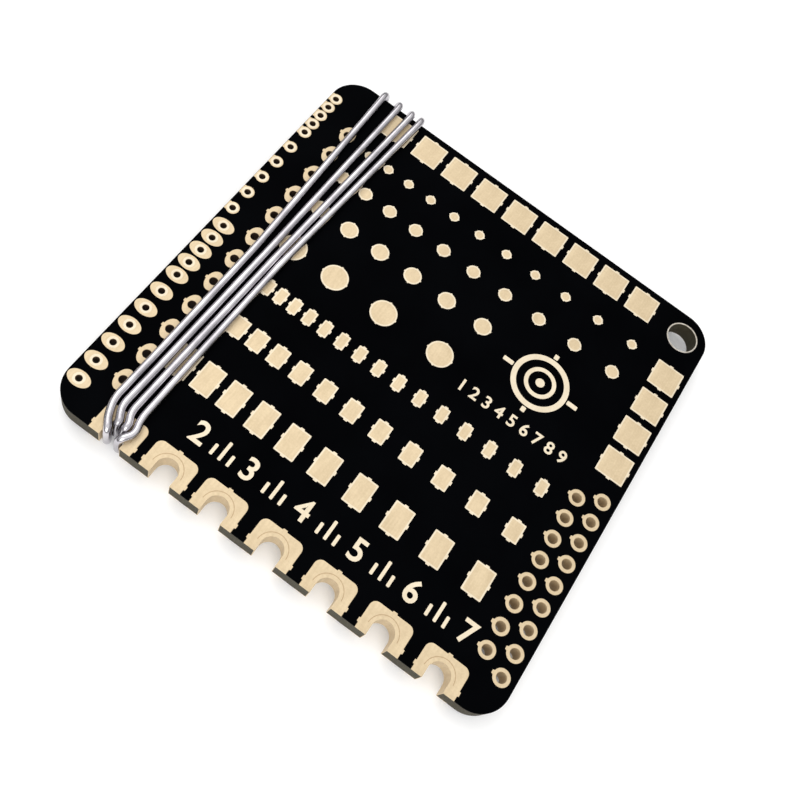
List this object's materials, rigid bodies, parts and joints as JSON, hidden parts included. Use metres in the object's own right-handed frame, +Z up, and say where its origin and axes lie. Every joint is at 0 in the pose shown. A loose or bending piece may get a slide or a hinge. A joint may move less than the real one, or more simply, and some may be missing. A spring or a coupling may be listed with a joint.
{
  "type": "soldering practice board",
  "caption": "Square black soldering practice board with gold castellated notches, plated eyelets, bare pads and a corner screw hole, and solder wire wound round one side.",
  "frame": {"origin": "centre of the whole object's footprint, on the surface it lies on", "axes": "+Z up out of the front face, +X to the right along the notched edge, +Y away from the notched edge towards the square pads"},
  "size_m": [0.0494, 0.0508, 0.0039],
  "materials": {
    "laminate": "sawn glass-epoxy laminate, olive grey-brown edges with fine layer lines",
    "solder_mask": "satin black solder mask",
    "gold_finish": "pale champagne gold over copper, satin",
    "solder": "bright bare solder wire"
  },
  "bodies": {
    "root": {"laminate_core": "laminate", "front_solder_mask": "solder_mask", "back_solder_mask": "solder_mask", "edge_eyelet_bus": "gold_finish", "castellation_1": "gold_finish", "castellation_2": "gold_finish", "castellation_3": "gold_finish", "castellation_4": "gold_finish", "castellation_5": "gold_finish", "castellation_6": "gold_finish", "castellation_7": "gold_finish", "header_eyelet_01": "gold_finish", "header_eyelet_02": "gold_finish", "header_eyelet_03": "gold_finish", "header_eyelet_04": "gold_finish", "header_eyelet_05": "gold_finish", "header_eyelet_06": "gold_finish", "header_eyelet_07": "gold_finish", "header_eyelet_08": "gold_finish", "header_eyelet_09": "gold_finish", "header_eyelet_10": "gold_finish", "header_eyelet_11": "gold_finish", "header_eyelet_12": "gold_finish", "header_eyelet_13": "gold_finish", "header_eyelet_14": "gold_finish", "header_eyelet_15": "gold_finish", "header_eyelet_16": "gold_finish", "header_eyelet_17": "gold_finish", "column_eyelet_01": "gold_finish", "column_eyelet_02": "gold_finish", "column_eyelet_03": "gold_finish", "column_eyelet_04": "gold_finish", "column_eyelet_05": "gold_finish", "column_eyelet_06": "gold_finish", "column_eyelet_07": "gold_finish", "column_eyelet_08": "gold_finish", "column_eyelet_09": "gold_finish", "column_eyelet_10": "gold_finish", "column_eyelet_11": "gold_finish", "column_eyelet_12": "gold_finish", "top_pad_1": "gold_finish", "top_pad_2": "gold_finish", "top_pad_3": "gold_finish", "top_pad_4": "gold_finish", "top_pad_5": "gold_finish", "top_pad_6": "gold_finish", "top_pad_7": "gold_finish", "top_pad_8": "gold_finish", "top_pad_9": "gold_finish", "side_pad_1": "gold_finish", "side_pad_2": "gold_finish", "side_pad_3": "gold_finish", "side_pad_4": "gold_finish", "solder_wire": "solder"}
  },
  "joints": []
}
